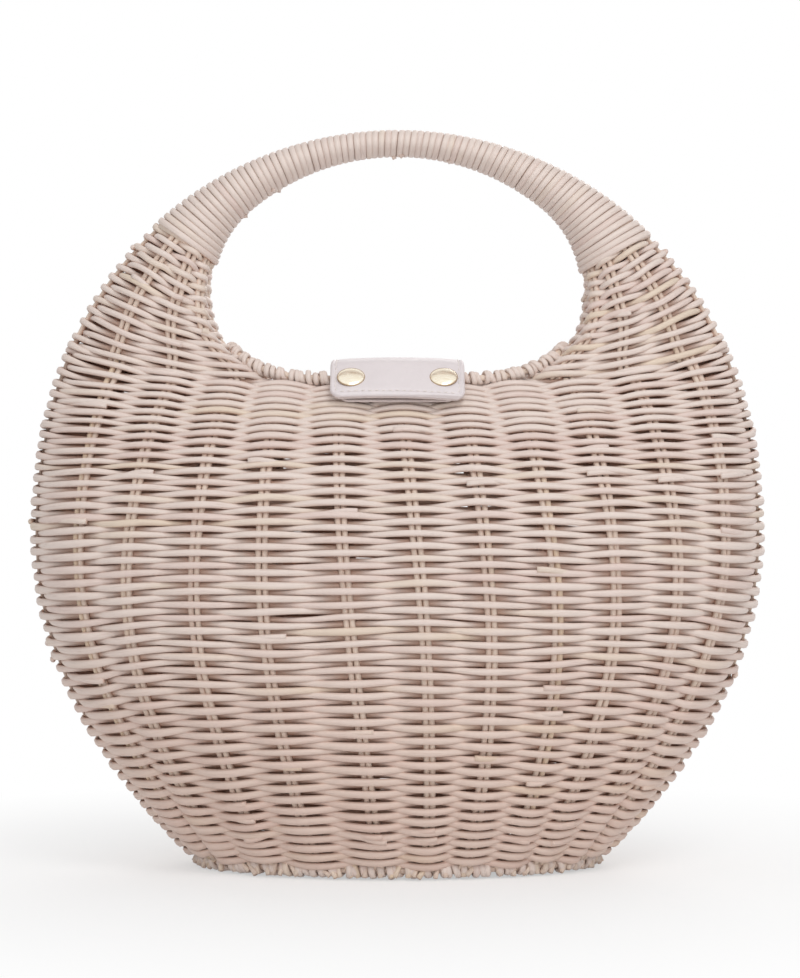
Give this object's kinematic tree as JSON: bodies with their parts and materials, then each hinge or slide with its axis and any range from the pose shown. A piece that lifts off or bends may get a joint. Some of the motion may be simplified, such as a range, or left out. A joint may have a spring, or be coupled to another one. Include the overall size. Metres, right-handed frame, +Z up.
{
  "type": "circle bag",
  "caption": "Round woven rattan handbag with an arched cane-wrapped handle growing out of the body, an oval base and a leather closure strap with press studs.",
  "frame": {"origin": "centre of the oval base at the level it stands on", "axes": "+X to the bag's right seen from the front, +Y towards its back, +Z up through the handle"},
  "size_m": [0.3196, 0.156, 0.3193],
  "materials": {
    "woven_rattan": "natural cane",
    "stake_cane": "natural cane",
    "lapping_cane": "natural cane",
    "core_cane": "natural cane",
    "strap_leather": "smooth",
    "lining_leather": "suede",
    "gold_hardware": "polished"
  },
  "bodies": {
    "basket": {"back_rim_cane": "lapping_cane", "back_stake_pair_01": "stake_cane", "back_stake_pair_02": "stake_cane", "back_stake_pair_03": "stake_cane", "back_stake_pair_04": "stake_cane", "back_stake_pair_05": "stake_cane", "back_stake_pair_06": "stake_cane", "back_stake_pair_07": "stake_cane", "back_stake_pair_08": "stake_cane", "back_stake_pair_09": "stake_cane", "back_stake_pair_10": "stake_cane", "back_stake_pair_11": "stake_cane", "base_border": "lapping_cane", "base_panel": "woven_rattan", "body_weave": "woven_rattan", "front_patch": "lining_leather", "front_rim_cane": "lapping_cane", "front_stake_pair_01": "stake_cane", "front_stake_pair_02": "stake_cane", "front_stake_pair_03": "stake_cane", "front_stake_pair_04": "stake_cane", "front_stake_pair_05": "stake_cane", "front_stake_pair_06": "stake_cane", "front_stake_pair_07": "stake_cane", "front_stake_pair_08": "stake_cane", "front_stake_pair_09": "stake_cane", "front_stake_pair_10": "stake_cane", "front_stake_pair_11": "stake_cane", "handle_core": "core_cane", "handle_lapping": "lapping_cane", "left_horn_weave": "woven_rattan", "left_side_rib": "stake_cane", "press_stud_posts": "gold_hardware", "right_horn_weave": "woven_rattan", "right_side_rib": "stake_cane", "rivet_washers": "gold_hardware", "strap_rivets": "gold_hardware", "strap_tail": "strap_leather"},
    "closure_strap": {"closure_strap_outer": "strap_leather", "closure_strap_lining": "lining_leather", "press_stud_caps": "gold_hardware", "press_stud_sockets": "gold_hardware"}
  },
  "joints": [
    {"name": "strap_flip", "type": "hinge", "parent": "basket", "child": "closure_strap", "pos_m": [0, 0.024, 0.21816], "axis": [-1, 0, 0], "range_deg": [0, 150]}
  ]
}
